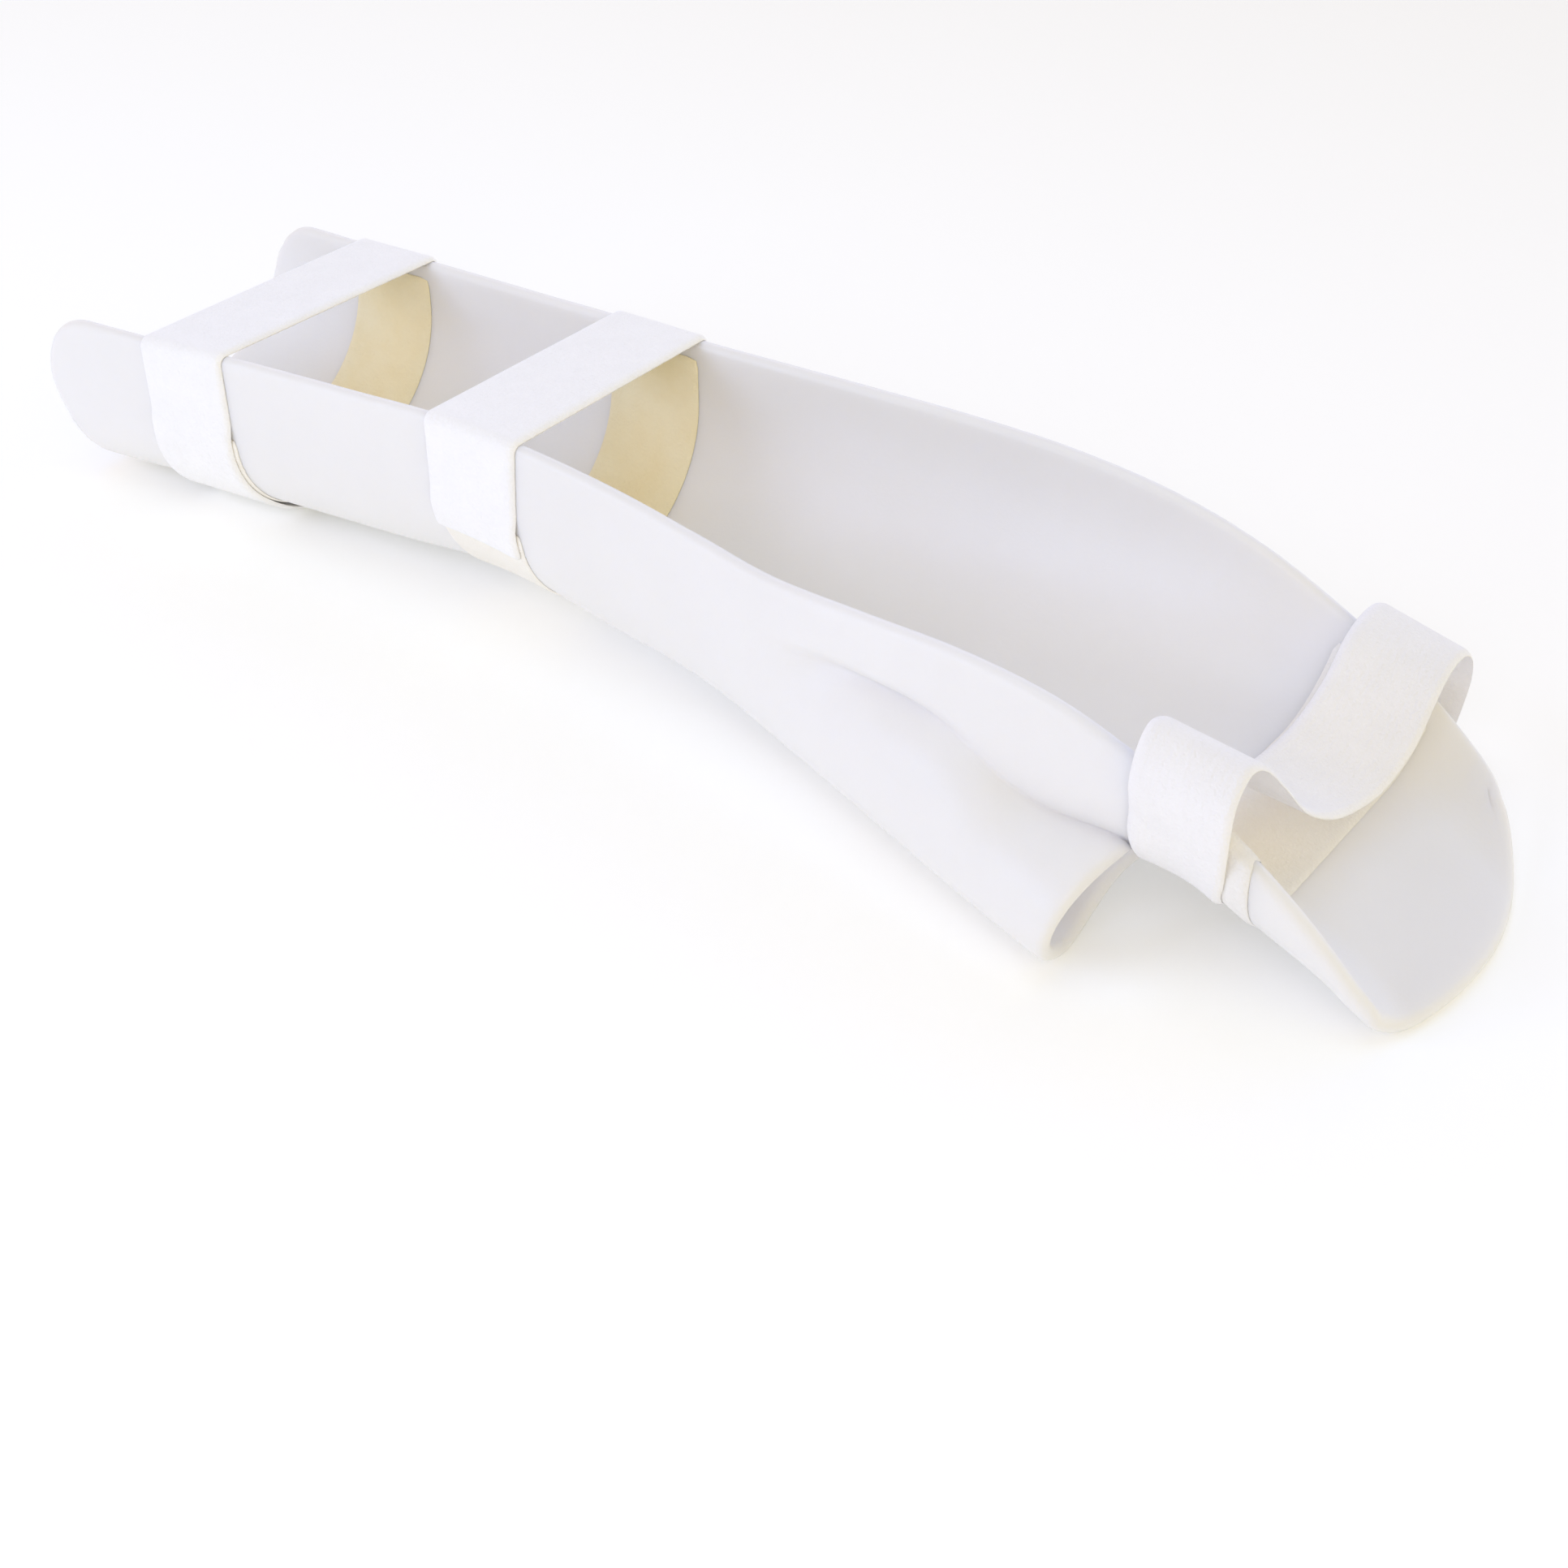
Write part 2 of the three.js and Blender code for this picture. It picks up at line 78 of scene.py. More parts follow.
# The thumb channel: where it swells out, its centre and radius at THUMB_X and their change over THUMB_RUN,
# the angle in degrees where its arc starts and how far it sweeps, before it opens and what opening adds
THUMB_FROM, THUMB_FULL = 146.0, 214.0
THUMB_X, THUMB_RUN = 226.0, 54.0
THUMB_Y, THUMB_Y_RUN = -24.0, -17.5
THUMB_R, THUMB_R_RUN = 15.0, -3.5
THUMB_CLEAR, THUMB_RISE = 2.2, 1.2
THUMB_OPENS = (200, 250)
THUMB_START, THUMB_START_OPEN = 8, 78
THUMB_SWEEP, THUMB_SWEEP_OPEN = -108, -190
THUMB_INNER_NARROW = 0.4
SIDE_POWER = 5
THUMB_LEAN_FROM, THUMB_LEAN_Y, THUMB_LEAN_Z = 225.0, 0.18, 0.20
THUMB_BACK, THUMB_BACK_SHARE, JOINT_FADE = 3.8, (0.45, 0.8), 8
# The crease above the thumb: where it is rounded off, where it stays sharper, and the dent pressed in
# below it, with its width in columns of the grid below and above the crease
CREASE_ROUNDS, CREASE_SHARPENS = (150, 190), (211, 236)
CREASE_KEEP, CREASE_COLUMNS, CREASE_PASSES = 0.8, 12, 14
DENT, DENT_DROP = 3.8, 0.4
DENT_BELOW, DENT_ABOVE = 7, 1.8
DENT_STARTS, DENT_ENDS = (211, 230), (238, 266)
FORK_POWER, FORK_BLEND = 6, (0, 14)
SHELL_SOFTEN = 6
TO_FRAME = np.array([-170.523, 3.116, 0.0])


def ease(start, stop, x):
    """Smooth step: 0 up to start, 1 from stop on, 3s^2 - 2s^3 between."""
    s = np.clip((x - start) / (stop - start), 0, 1)
    return s * s * (3 - 2 * s)


def cubic_through(rows, u):
    """Cubic through the rows at whole numbers of u, with slopes from the neighbouring rows."""
    slope = np.gradient(rows, axis=0)
    i = np.clip(np.floor(u).astype(int), 0, len(rows) - 2)
    s = np.clip(u - i, 0, 1)[..., None]
    return (((2 * s - 3) * s * s + 1) * rows[i] + ((s - 2) * s + 1) * s * slope[i]
            + (3 - 2 * s) * s * s * rows[i + 1] + (s - 1) * s * s * slope[i + 1])


def sections_at(x):
    """Section columns at each x: the table's cubic, read backwards from x to the fractional row."""
    u = np.linspace(0, len(SECTIONS) - 1, 36001)
    table_x = cubic_through(SECTIONS, u)[:, 0]
    row = cubic_through(SECTIONS, np.interp(x, table_x, u))
    return {name: row[..., k] for k, name in enumerate(SECTION_COLUMNS)}


def on_section(row, share):
    """Point (y, z) at a share of the U's length: wall, corner arc, floor, corner arc, wall. The near wall
    bows out by a sine of its height."""
    back = np.clip(END_CORNER - row["x"], 0, END_CORNER)
    drop = END_CORNER - np.sqrt(END_CORNER ** 2 - back ** 2)

    def wall(edge, r):
        height = edge - drop - row["floor_z"]
        turn = np.arccos(np.clip(1 - height / r, 0, 1))
        return height, turn, np.maximum(height - r, 0)

    def climb(height, turn, straight, r, foot, sign, bow, s):
        angle = np.where(s > straight, np.maximum(turn - (s - straight) / r, 0), turn)
        y = foot + sign * r * np.sin(angle)
        z = row["floor_z"] + np.where(s > straight, r * (1 - np.cos(angle)), height - s)
        level = np.clip((z - row["floor_z"]) / np.maximum(height, 1e-6), 0, 1)
        return y + sign * bow * height * np.sin(np.pi * level), z

    near_h, near_turn, near_straight = wall(row["near_z"], row["near_r"])
    far_h, far_turn, far_straight = wall(row["far_z"], row["far_r"])
    near_foot = row["near_y"] + row["near_r"] * np.sin(near_turn)
    far_foot = row["far_y"] - row["far_r"] * np.sin(far_turn)
    near_length = near_straight + row["near_r"] * near_turn
    far_length = far_straight + row["far_r"] * far_turn
    total = near_length + np.maximum(far_foot - near_foot, 0) + far_length
    s = share * total
    bow = NEAR_BOW * ease(NEAR_BOW_FROM, NEAR_BOW_FULL, row["x"])
    near = climb(near_h, near_turn, near_straight, row["near_r"], near_foot, -1, bow, s)
    far = climb(far_h, far_turn, far_straight, row["far_r"], far_foot, 1, 0, total - s)
    on_near, on_far = s < near_length, total - s < far_length
    y = np.where(on_near, near[0], np.where(on_far, far[0], near_foot + s - near_length))
    z = np.where(on_near, near[1], np.where(on_far, far[1], row["floor_z"]))
    return y, z


def column(row):
    """The same section values, shaped to broadcast along a second axis."""
    return {name: value[:, None] for name, value in row.items()}


def sheet_points(x, counts):
    """Middle surface of the sheet before the thumb: rows along x, columns round the U, and an oval tip in
    plan."""
    row = column(sections_at(x))
    strip, thumb, rest = counts
    a = np.linspace(0, 1, strip)[None, :-1] * row["crease"]
    b = row["crease"] + np.linspace(0, 1, thumb)[None, :] * (JOINT - row["crease"])
    c = np.broadcast_to(np.linspace(JOINT, 1, rest)[None, 1:], (len(x), rest - 1))
    share = np.concatenate([a, b, c], axis=1)
    y, z = on_section(row, share)
    near = y < TIP_MIDDLE_Y
    edge = np.where(near, row["near_y"], row["far_y"])
    t = np.minimum(np.abs((y - TIP_MIDDLE_Y) / (edge - TIP_MIDDLE_Y)), 1)
    oval = (1 - np.sqrt(1 - (TIP_OVAL * t) ** 2)) / (1 - np.sqrt(1 - TIP_OVAL ** 2))
    lag = np.where(near, row["near_lag"] * oval, row["far_lag"] * (oval + t * t) / 2)
    return np.stack([row["x"] - lag, y, z], axis=-1)


def swell_thumb(points, x, counts):
    """Moves the columns between crease and joint towards a tube round (cy, cz): radius, centre and opening
    angle change along x, and both sides keep their place, fading in with a power of the share."""
    strip, thumb, _ = counts
    first, last = points[:, strip - 1].copy(), points[:, strip + thumb - 2].copy()
    k = ((x - THUMB_X) / THUMB_RUN)[:, None]
    r = THUMB_R + THUMB_R_RUN * k
    cy = THUMB_Y + THUMB_Y_RUN * k
    cz = r + THUMB_CLEAR + THUMB_RISE * (1 - k)
    opened = ease(*THUMB_OPENS, x)[:, None]
    s = np.linspace(0, 1, thumb)[None, :]
    sweep = THUMB_SWEEP + THUMB_SWEEP_OPEN * opened
    angle = np.radians(THUMB_START + THUMB_START_OPEN * opened + sweep * s)
    width = np.where(np.cos(angle) < 0, 1 - THUMB_INNER_NARROW * opened, 1)
    round_y, round_z = cy - r * width * np.cos(angle), cz + r * np.sin(angle)
    start, stop = (1 - s) ** SIDE_POWER, s ** SIDE_POWER
    y = round_y + (first[:, 1:2] - round_y[:, :1]) * start + (last[:, 1:2] - round_y[:, -1:]) * stop
    z = round_z + (first[:, 2:] - round_z[:, :1]) * start + (last[:, 2:] - round_z[:, -1:]) * stop
    share = ease(THUMB_FROM, THUMB_FULL, x)[:, None]
    part = points[:, strip - 1:strip + thumb - 1]
    part[..., 1] += (y - part[..., 1]) * share
    part[..., 2] += (z - part[..., 2]) * share
    lean = ease(THUMB_LEAN_FROM, FORK_X, x)[:, None]
    drop = (THUMB_LEAN_Y * np.maximum(first[:, 1:2] - part[..., 1], 0)
            + THUMB_LEAN_Z * np.maximum(first[:, 2:] - part[..., 2], 0))
    back = THUMB_BACK * ease(*THUMB_BACK_SHARE, s)
    part[..., 0] -= lean * (drop + back) * np.minimum(JOINT_FADE * (1 - s), 1)


def grid_quads(index, closed=False):
    """Four corner numbers for each cell of a grid of point numbers; closed joins the last column to the
    first."""
    index = np.concatenate([index, index[:, :1]], axis=1) if closed else index
    corners = [index[:-1, :-1], index[1:, :-1], index[1:, 1:], index[:-1, 1:]]
    return np.stack(corners, axis=-1).reshape(-1, 4)


FLAT_RIM_POWER = 1.3


def sheet_solid(name, points, quads, thickness, corner_uv, lip, flat=0, soften=0, steps=6):
    """Closed solid round a sheet of quads: both faces stand half the thickness off along the vertex normals,
    averaged soften times over their neighbours. Every free edge gets a rim that reaches out by lip: half
    round, or, with flat 1 or -1, level with the face on that side of the normal and rounded off towards the
    other."""
    half = thickness / 2
    used, quads = np.unique(quads, return_inverse=True)
    points, quads = points[used], quads.reshape(-1, 4)
    corner = points[quads]
    face = np.cross(corner[:, 2] - corner[:, 0], corner[:, 3] - corner[:, 1])
    normal = np.zeros_like(points)
    np.add.at(normal, quads.ravel(), np.repeat(face, 4, axis=0))
    normal /= np.linalg.norm(normal, axis=1, keepdims=True)
    for _ in range(soften):
        around = normal[quads].mean(axis=1)
        normal = np.zeros_like(points)
        np.add.at(normal, quads.ravel(), np.repeat(around, 4, axis=0))
        normal /= np.linalg.norm(normal, axis=1, keepdims=True)
    start, stop = quads.ravel(), np.roll(quads, -1, axis=1).ravel()
    count = len(points)
    free = ~np.isin(start * count + stop, stop * count + start)
    a, b = start[free], stop[free]
    out_edge = np.cross(points[b] - points[a], np.repeat(face, 4, axis=0)[free])
    out_edge /= np.linalg.norm(out_edge, axis=1, keepdims=True)
    out = np.zeros_like(points)
    np.add.at(out, a, out_edge)
    np.add.at(out, b, out_edge)
    rim = np.unique(np.concatenate([a, b]))
    out[rim] /= np.maximum(np.linalg.norm(out[rim], axis=1, keepdims=True), 1e-9)
    angle = np.pi / 2 - np.pi * np.arange(1, steps) / steps
    reach, height = lip * np.cos(angle), half * np.sin(angle)
    if flat:
        angle = np.pi / 2 * np.arange(steps - 1) / (steps - 1)
        reach = lip * np.cos(angle) ** FLAT_RIM_POWER
        height = flat * half * (1 - 2 * np.sin(angle) ** FLAT_RIM_POWER)
    if flat < 0:
        reach, height = reach[::-1], height[::-1]
    ring = (points[rim][:, None] + reach[:, None] * out[rim][:, None]
            + height[:, None] * normal[rim][:, None])
    place = np.full((count, steps + 1), -1)
    place[:, 0], place[:, -1] = np.arange(count), count + np.arange(count)
    place[rim, 1:-1] = 2 * count + np.arange(len(rim) * (steps - 1)).reshape(len(rim), -1)
    rim_corners = [place[b, :-1], place[a, :-1], place[a, 1:], place[b, 1:]]
    rim_faces = np.stack(rim_corners, axis=-1).reshape(-1, 4)
    uv_a = corner_uv.reshape(-1, 2)[free]
    uv_b = np.roll(corner_uv, -1, axis=1).reshape(-1, 2)[free]
    rim_uv = np.repeat(np.stack([uv_b, uv_a, uv_a, uv_b], axis=1), steps, axis=0)
    vertices = np.concatenate([points + half * normal, points - half * normal, ring.reshape(-1, 3)])
    faces = np.concatenate([quads, quads[:, ::-1] + count, rim_faces])
    uv = np.concatenate([corner_uv, corner_uv[:, ::-1], rim_uv]).reshape(-1, 2)
    mesh = bpy.data.meshes.new(name)
    mesh.vertices.add(len(vertices))
    mesh.vertices.foreach_set("co", ((vertices + TO_FRAME) / 1000).astype(np.float32).ravel())
    mesh.loops.add(faces.size)
    mesh.loops.foreach_set("vertex_index", faces.astype(np.int32).ravel())
    mesh.polygons.add(len(faces))
    mesh.polygons.foreach_set("loop_start", np.arange(0, faces.size, 4, dtype=np.int32))
    smooth = np.ones(len(faces), dtype=bool)
    if flat:
        smooth[2 * len(quads):].reshape(-1, steps)[:, 0 if flat > 0 else -1] = False
    mesh.polygons.foreach_set("use_smooth", smooth)
    layer = mesh.uv_layers.new(name="millimetres")
    mesh.update(calc_edges=True)
    layer.data.foreach_set("uv", uv.astype(np.float32).ravel())
    mesh.validate()
    piece = bpy.data.objects.new(name, mesh)
    bpy.context.scene.collection.objects.link(piece)
    return piece


def round_creases(points, amount, passes):
    """Rounds a grid across its columns: each pass moves a point up to half way to the middle of its two
    neighbours."""
    for _ in range(passes):
        middle = (points[:, :-2] + points[:, 2:]) / 2
        points[:, 1:-1] += 0.5 * amount * (middle - points[:, 1:-1])


# Grid columns on the edge strip above the crease, on the thumb channel, and on the floor and far wall
counts = (14, 58, 60)
corner_rows, trough_rows, pan_rows = 22, 172, 46
turn = np.radians(np.linspace(0, 90, corner_rows))
corner_x = END_CORNER * (1 - np.cos(turn))
trough_x = np.concatenate([corner_x, np.linspace(END_CORNER, FORK_X, trough_rows)[1:]])
pan_x = np.linspace(FORK_X, TIP_X, pan_rows)
trough = sheet_points(trough_x, counts)
swell_thumb(trough, trough_x, counts)
pan = sheet_points(pan_x, counts)
plain_fork = trough[-1].copy()
number = np.arange(trough.shape[1])
below = number - counts[0] + 1
by_crease = np.exp(-(below / CREASE_COLUMNS) ** 2)[None, :] * ease(*CREASE_SHARPENS, trough_x)[:, None]
rounding = ease(*CREASE_ROUNDS, trough_x)[:, None] * (1 - CREASE_KEEP * by_crease)
round_creases(trough, rounding[:, 1:-1, None], CREASE_PASSES)
dent = np.exp(-(below / np.where(below > 0, DENT_BELOW, DENT_ABOVE)) ** 2)[None, :]
dent = DENT * dent * (ease(*DENT_STARTS, trough_x) * (1 - ease(*DENT_ENDS, trough_x)))[:, None]
trough[..., 1] += dent
trough[..., 2] -= DENT_DROP * dent
shift = trough[-1] - plain_fork
thumb_first, thumb_last = counts[0] - 1, counts[0] + counts[1] - 2
side = np.linspace(0, 1, counts[1])[:, None]
shift[thumb_first:thumb_last + 1] = ((1 - side) ** FORK_POWER * shift[thumb_first]
                                     + side ** FORK_POWER * shift[thumb_last])
pan += shift[None] * (1 - ease(*FORK_BLEND, pan_x - FORK_X))[:, None, None]
for part in (trough, pan):
    lifted = np.minimum(part[..., 2] / END_SKEW_HEIGHT, 1)
    far = END_SKEW * (END_SKEW_MIDDLE + END_SKEW_SIDE * part[..., 1] / END_HALF_WIDTH) * lifted
    near = END_TRIM * (1 - ease(*END_TRIM_Z, part[..., 2])) * (1 - ease(*END_TRIM_Y, part[..., 1]))
    part[..., 0] += (far + near) * (1 - ease(*END_REACH, part[..., 0]))
columns = trough.shape[1]
trough_index = np.arange(trough.shape[0] * columns).reshape(-1, columns)
pan_index = trough_index.size + np.arange(pan.shape[0] * columns).reshape(-1, columns)
outside_thumb = (number <= thumb_first) | (number >= thumb_last)
pan_index[0] = np.where(outside_thumb, trough_index[-1], pan_index[0])
shell_points = np.concatenate([trough.reshape(-1, 3), pan.reshape(-1, 3)])
shell_quads = np.concatenate([grid_quads(trough_index), grid_quads(pan_index)])
shell_column = np.tile(number, len(shell_points) // columns)
shell_uv = np.stack([shell_points[:, 0], shell_column], axis=-1)[shell_quads]
shell = sheet_solid("splint_shell_moulded", shell_points, shell_quads, SHEET, shell_uv, SHEET / 2,
                    soften=SHELL_SOFTEN)


def mottle_group():
    """Node group: unevenness of colour and height, from a coarse and a fine noise on Object coordinates."""
    group = bpy.data.node_groups.new("slow mottle", "ShaderNodeTree")
    group.interface.new_socket("Coarse", in_out="INPUT", socket_type="NodeSocketFloat").default_value = 40
    group.interface.new_socket("Fine", in_out="INPUT", socket_type="NodeSocketFloat").default_value = 900
    group.interface.new_socket("Coarse Value", in_out="OUTPUT", socket_type="NodeSocketFloat")
    group.interface.new_socket("Fine Value", in_out="OUTPUT", socket_type="NodeSocketFloat")
    enter, leave = group.nodes.new("NodeGroupInput"), group.nodes.new("NodeGroupOutput")
    where = group.nodes.new("ShaderNodeTexCoord")
    for size, value, detail in (("Coarse", "Coarse Value", 3), ("Fine", "Fine Value", 2)):
        noise = group.nodes.new("ShaderNodeTexNoise")
        noise.inputs["Detail"].default_value = detail
        group.links.new(where.outputs["Object"], noise.inputs["Vector"])
        group.links.new(enter.outputs[size], noise.inputs["Scale"])
        group.links.new(noise.outputs["Fac"], leave.inputs[value])
    return group


mottle = mottle_group()


def finish(name, roughness, sheen=0.0):
    """New material with a Principled shader; returns the material, its nodes, its links and the shader."""
    material = bpy.data.materials.new(name)
    material.use_nodes = True
    nodes, links = material.node_tree.nodes, material.node_tree.links
    shader = nodes["Principled BSDF"]
    shader.inputs["Roughness"].default_value = roughness
    if sheen:
        shader.inputs["Sheen Weight"].default_value = sheen
        shader.inputs["Sheen Roughness"].default_value = 0.6
    return material, nodes, links, shader


def blend_colours(nodes, links, value, low, high, dark, light):
    """Colour ramp between two colours as a value runs from low to high."""
    ramp = nodes.new("ShaderNodeValToRGB")
    ramp.color_ramp.elements[0].position, ramp.color_ramp.elements[0].color = low, (*dark, 1)
    ramp.color_ramp.elements[1].position, ramp.color_ramp.elements[1].color = high, (*light, 1)
    links.new(value, ramp.inputs["Fac"])
    return ramp.outputs["Color"]


def raise_surface(nodes, links, height, distance, strength, under=None):
    """Bump from a height value; under is a coarser bump's normal that it rides on."""
    bump = nodes.new("ShaderNodeBump")
    bump.inputs["Distance"].default_value = distance
    bump.inputs["Strength"].default_value = strength
    links.new(height, bump.inputs["Height"])
    if under is not None:
        links.new(under, bump.inputs["Normal"])
    return bump.outputs["Normal"]


sheet_white, nodes, links, shader = finish("moulded white sheet", 0.42)
uneven = nodes.new("ShaderNodeGroup")
uneven.node_tree = mottle
uneven.inputs["Coarse"].default_value = 28
uneven.inputs["Fine"].default_value = 1400
white = blend_colours(nodes, links, uneven.outputs["Coarse Value"], 0.3, 0.7,
                      (0.83, 0.82, 0.815), (0.85, 0.84, 0.835))
links.new(white, shader.inputs["Base Color"])
hand_moulded = raise_surface(nodes, links, uneven.outputs["Coarse Value"], 0.004, 0.04)
satin = raise_surface(nodes, links, uneven.outputs["Fine Value"], 0.0002, 0.15, hand_moulded)
links.new(satin, shader.inputs["Normal"])
shader.inputs["Subsurface Weight"].default_value = 0.4
shader.inputs["Subsurface Radius"].default_value = (1.0, 0.95, 0.85)
shader.inputs["Subsurface Scale"].default_value = 0.005
shell.data.materials.append(sheet_white)
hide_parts("splint_shell")
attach(shell, "root")

# Lining bands
# Soft cream lining stuck inside the trough under each strap, and one across the finger pan that turns over
# its near rim. It is brushed cloth with a self-adhesive back, cut straight.
STRIP = 0.5
STUCK = 0.06
# From the middle of the sheet to the middle of a lining or tape stuck on it
STUCK_ON = SHEET / 2 + STUCK + STRIP / 2
LINING_ENDS = (0.03, 0.97)
STRAP_WIDTH = 25.4
PROXIMAL_STRAP_X, DISTAL_STRAP_X = 35.0, 119.0
PAN_BAND_X, PAN_BAND_WIDTH = 291.8, 20.5
PAN_BAND_ENDS = (0.26, 0.95)
RIM_SHARE, RIM_TURN = 0.03, (170, 10)
EDGE = 1.4


def off_section(row, share, distance):
    """Point (y, z) moved square to the section by a distance, outwards when positive."""
    step = 0.004
    ay, az = on_section(row, np.maximum(share - step, 0))
    by, bz = on_section(row, np.minimum(share + step, 1))
    y, z = on_section(row, share)
    length = np.hypot(by - ay, bz - az)
    return y + distance * (bz - az) / length, z - distance * (by - ay) / length


def along_section(x, share, distance, lean=0.0):
    """Paths round the sheet, one row for each x; lean carries a path towards the fingers on its way down."""
    base = column(sections_at(x))
    share = np.broadcast_to(share, (len(x), share.shape[-1]))
    _, z = on_section(base, share)
    at = base["x"] + lean * (np.where(share < 0.5, base["near_z"], base["far_z"]) - z)
    y, z = off_section(sections_at(at), share, distance)
    return np.stack([at, y, z], axis=-1)


def cloth_strip(name, points, thickness, under, closed=False):
    """Solid strip from a grid of paths, flat to its edges on the under side, and its flat size in metres.
    Its UV map is in millimetres across the width and along the length."""
    rim = 0 if closed else EDGE
    row_gaps = np.linalg.norm(np.diff(points, axis=0), axis=-1).mean(axis=1)
    across = EDGE + np.concatenate([[0], np.cumsum(row_gaps)])
    path = points[len(points) // 2]
    path = np.concatenate([path, path[:1]]) if closed else path
    along = rim + np.concatenate([[0], np.cumsum(np.linalg.norm(np.diff(path, axis=0), axis=-1))])
    rows, columns = points.shape[:2]
    quads = grid_quads(np.arange(rows * columns).reshape(rows, columns), closed)
    u, v = np.meshgrid(across, along, indexing="ij")
    flat = grid_quads(np.arange(u.size).reshape(u.shape))
    corner_uv = np.stack([u.ravel(), v.ravel()], axis=-1)[flat]
    piece = sheet_solid(name, points.reshape(-1, 3), quads, thickness, corner_uv, EDGE, under)
    return piece, ((across[-1] + EDGE) / 1000, (along[-1] + rim) / 1000)


def stations(x, width, count):
    """Evenly spaced places across a strip's width, inside its rims."""
    return x + EDGE + (width - 2 * EDGE) * np.linspace(0, 1, count)


def cream_lining(name, dark, light, fade):
    """Brushed cream cloth: mottled between two colours, with a fine nap. Where fade is above 0, the last fade
    millimetres of the finger band's width turn paler."""
    material, nodes, links, shader = finish(name, 0.9, sheen=0.2)
    uneven = nodes.new("ShaderNodeGroup")
    uneven.node_tree = mottle
    uneven.inputs["Coarse"].default_value = 110
    uneven.inputs["Fine"].default_value = 1700
    cream = blend_colours(nodes, links, uneven.outputs["Coarse Value"], 0.35, 0.7, dark, light)
    if fade:
        uv = nodes.new("ShaderNodeUVMap")
        uv.uv_map = "millimetres"
        split = nodes.new("ShaderNodeSeparateXYZ")
        links.new(uv.outputs["UV"], split.inputs["Vector"])
        reach = nodes.new("ShaderNodeMapRange")
        reach.inputs["From Min"].default_value = PAN_BAND_WIDTH - fade
        reach.inputs["From Max"].default_value = PAN_BAND_WIDTH
        links.new(split.outputs["X"], reach.inputs["Value"])
        mix = nodes.new("ShaderNodeMix")
        mix.data_type = "RGBA"
        links.new(reach.outputs["Result"], mix.inputs["Factor"])
        links.new(cream, mix.inputs["A"])
        mix.inputs["B"].default_value = (0.88, 0.865, 0.845, 1)
        cream = mix.outputs["Result"]
    links.new(cream, shader.inputs["Base Color"])
    links.new(raise_surface(nodes, links, uneven.outputs["Fine Value"], 0.0005, 0.5), shader.inputs["Normal"])
    return material


trough_lining = cream_lining("brushed cream lining", (0.96, 0.86, 0.58), (0.98, 0.90, 0.65), 0)
share = np.linspace(LINING_ENDS[0], LINING_ENDS[1], 150)
for name, x in (("proximal", PROXIMAL_STRAP_X), ("distal", DISTAL_STRAP_X)):
    points = along_section(stations(x, STRAP_WIDTH, 18), share, -STUCK_ON)
    band, flat = cloth_strip(f"lining_band_{name}_cloth", points, STRIP, -1)
    band.data.materials.append(trough_lining)
    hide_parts(f"lining_band_{name}")
    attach(band, "root")

band_x = stations(PAN_BAND_X, PAN_BAND_WIDTH, 18)
row = column(sections_at(band_x))
angle = np.radians(np.linspace(*RIM_TURN, 14))[None, :]
rim_y = row["near_y"] + STUCK_ON * np.cos(angle)
rim_z = row["near_z"] + STUCK_ON * np.sin(angle)
rim = np.stack([np.broadcast_to(row["x"], rim_y.shape), rim_y, rim_z], axis=-1)
outside = along_section(band_x, np.linspace(PAN_BAND_ENDS[0], RIM_SHARE, 40), STUCK_ON)
inside = along_section(band_x, np.linspace(RIM_SHARE, PAN_BAND_ENDS[1], 130), -STUCK_ON)
points = np.concatenate([outside, rim, inside], axis=1)
finger_band, flat = cloth_strip("lining_band_finger_cloth", points, STRIP, -1)
finger_cream = cream_lining("pale brushed lining", (0.97, 0.935, 0.87), (0.98, 0.955, 0.905), 9)
finger_band.data.materials.append(finger_cream)
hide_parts("lining_band_finger")
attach(finger_band, "root")

# Hook strips
# Cream hook tape with an adhesive back, stuck round the outside of the trough under the forearm straps.
# Its stiff hooks hold the straps' loop pile, and its edge shows beside them.
STRIP_ENDS = (0.16, 0.84)
PEEK = 0.8

hook_tape, nodes, links, shader = finish("cream hook tape", 0.75)
uv = nodes.new("ShaderNodeUVMap")
uv.uv_map = "millimetres"
hooks = nodes.new("ShaderNodeTexVoronoi")
hooks.inputs["Scale"].default_value = 1.6
hooks.inputs["Randomness"].default_value = 0.25
links.new(uv.outputs["UV"], hooks.inputs["Vector"])
cream = blend_colours(nodes, links, hooks.outputs["Distance"], 0.0, 0.6,
                      (0.98, 0.955, 0.91), (0.96, 0.925, 0.85))
links.new(cream, shader.inputs["Base Color"])
links.new(raise_surface(nodes, links, hooks.outputs["Distance"], 0.0004, 0.6), shader.inputs["Normal"])
share = np.linspace(STRIP_ENDS[0], STRIP_ENDS[1], 110)
for name, x in (("proximal", PROXIMAL_STRAP_X), ("distal", DISTAL_STRAP_X)):
    points = along_section(stations(x + PEEK, STRAP_WIDTH, 16), share, STUCK_ON)
    strip, flat = cloth_strip(f"hook_strip_{name}_tape", points, STRIP, 1)
    strip.data.materials.append(hook_tape)
    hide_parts(f"hook_strip_{name}")
    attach(strip, "root")

# Forearm straps
# White loop-pile strap, 25.4 mm wide, pulled tight across the open top. The one at the elbow end goes all the
# way round, and the one at the wrist ends on both walls, where the hook tape holds it.
STRAP = 1.0
ON_STRIP = SHEET / 2 + 2 * STUCK + STRIP + STRAP / 2
ON_SHEET = SHEET / 2 + STUCK + STRAP / 2
TROUGH_FLOOR, TABLE_CLEAR = 4.9, 0.03
ON_FLOOR = TROUGH_FLOOR - STRAP / 2 - TABLE_CLEAR
DISTAL_STRAP_ENDS = (0.19, 0.81)
